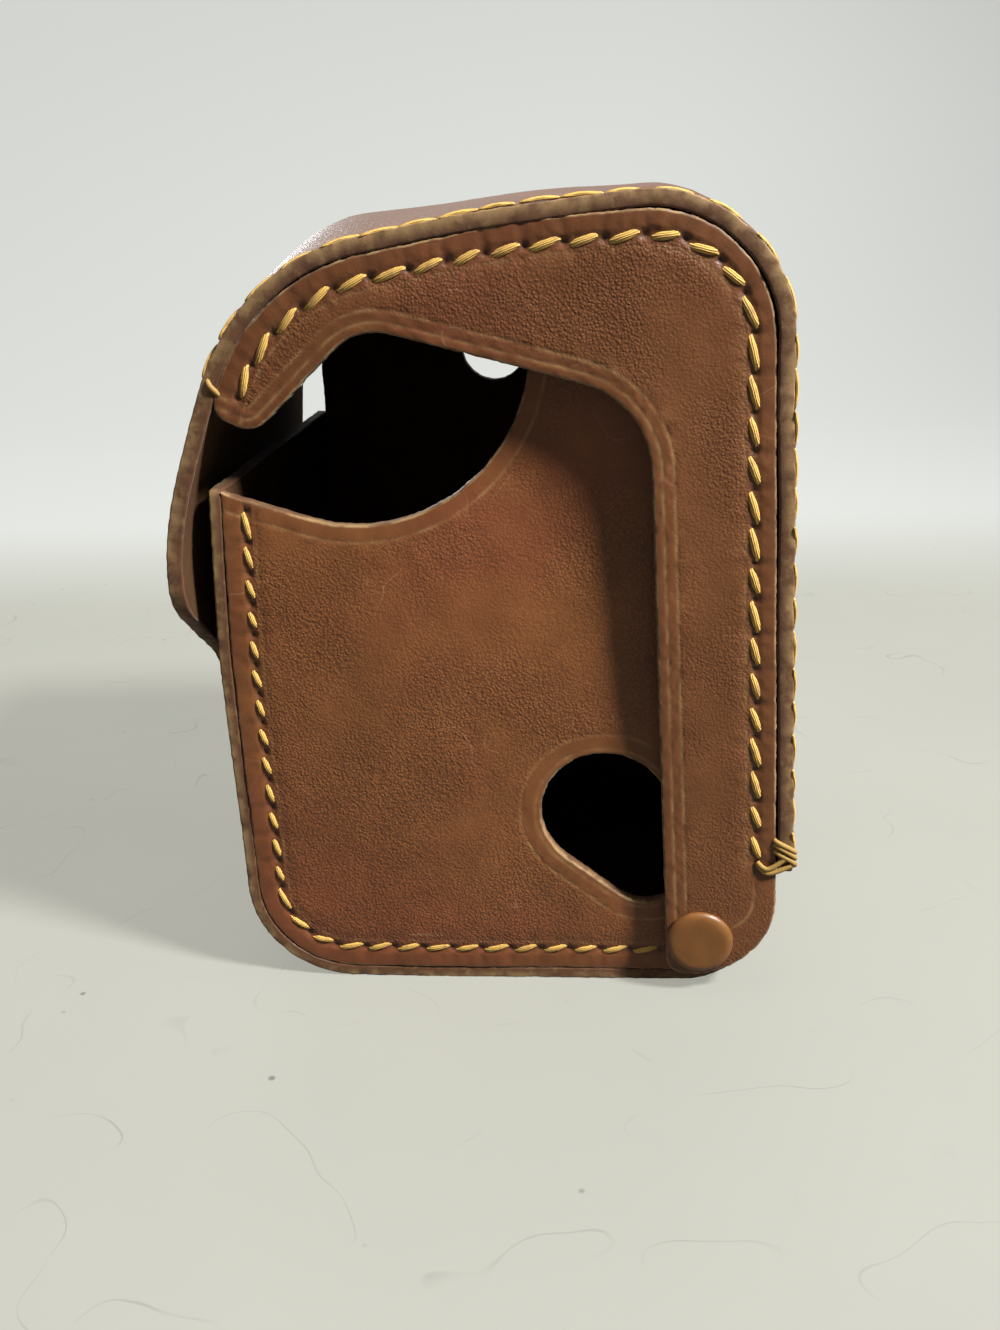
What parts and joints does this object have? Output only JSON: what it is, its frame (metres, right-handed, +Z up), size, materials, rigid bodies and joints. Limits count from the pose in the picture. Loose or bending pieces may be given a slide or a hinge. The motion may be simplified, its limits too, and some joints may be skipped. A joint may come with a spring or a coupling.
{
  "type": "leather camera case",
  "caption": "Stiff stitched leather case for a small box-shaped camera, with a riveted cover that tips back, a front flap with a press-stud tongue, and cut-outs at one end.",
  "frame": {"origin": "centre of the bounding box's underside, where the case stands", "axes": "+Z up, the flap and tongue face -Y, the rear wall faces +Y, and the end with the large cut-outs faces +X"},
  "size_m": [0.0734, 0.0852, 0.1104],
  "materials": {
    "body_leather": "vegetable-tanned cowhide, saddle brown, fine pebbled grain",
    "cover_leather": "vegetable-tanned cowhide, saddle brown, smoother and burnished along the seams",
    "waxed_thread": "waxed linen thread, yellow",
    "brown_enamel": "brown stoving enamel on brass, slightly worn",
    "brass": "plain stamped brass, dulled",
    "spring_steel": "drawn spring wire"
  },
  "bodies": {
    "case_body": {"body_band": "body_leather", "near_end_panel": "body_leather", "far_end_panel": "body_leather", "near_body_stitches": "waxed_thread", "far_body_stitches": "waxed_thread", "near_rivet_cap": "brown_enamel", "near_rivet_back": "brass", "far_rivet_cap": "brown_enamel", "far_rivet_back": "brass", "snap_stud": "brass", "stud_eyelet": "brass"},
    "cover": {"cover_band": "cover_leather", "near_cheek": "cover_leather", "far_cheek": "cover_leather", "near_cover_stitches": "waxed_thread", "far_cover_stitches": "waxed_thread"},
    "flap": {"front_flap": "cover_leather"},
    "tongue": {"snap_tongue": "cover_leather", "snap_cap": "brown_enamel", "snap_socket": "brass", "snap_spring": "spring_steel"}
  },
  "joints": [
    {"name": "cover_swing", "type": "hinge", "parent": "case_body", "child": "cover", "pos_m": [0, 0.02964, 0.0084], "axis": [-1, 0, 0], "range_deg": [0, 50]},
    {"name": "flap_lift", "type": "hinge", "parent": "cover", "child": "flap", "pos_m": [0, -0.03791, 0.0857], "axis": [-0.998, -0.0633, 0], "range_deg": [0, 110]},
    {"name": "tongue_lift", "type": "hinge", "parent": "flap", "child": "tongue", "pos_m": [0, -0.04155, 0.0457], "axis": [-1, 0, 0], "range_deg": [0, 65]}
  ],
  "couplings": [
    {"joint": "flap_lift", "follows": "cover_swing", "ratio": 2.2}
  ]
}
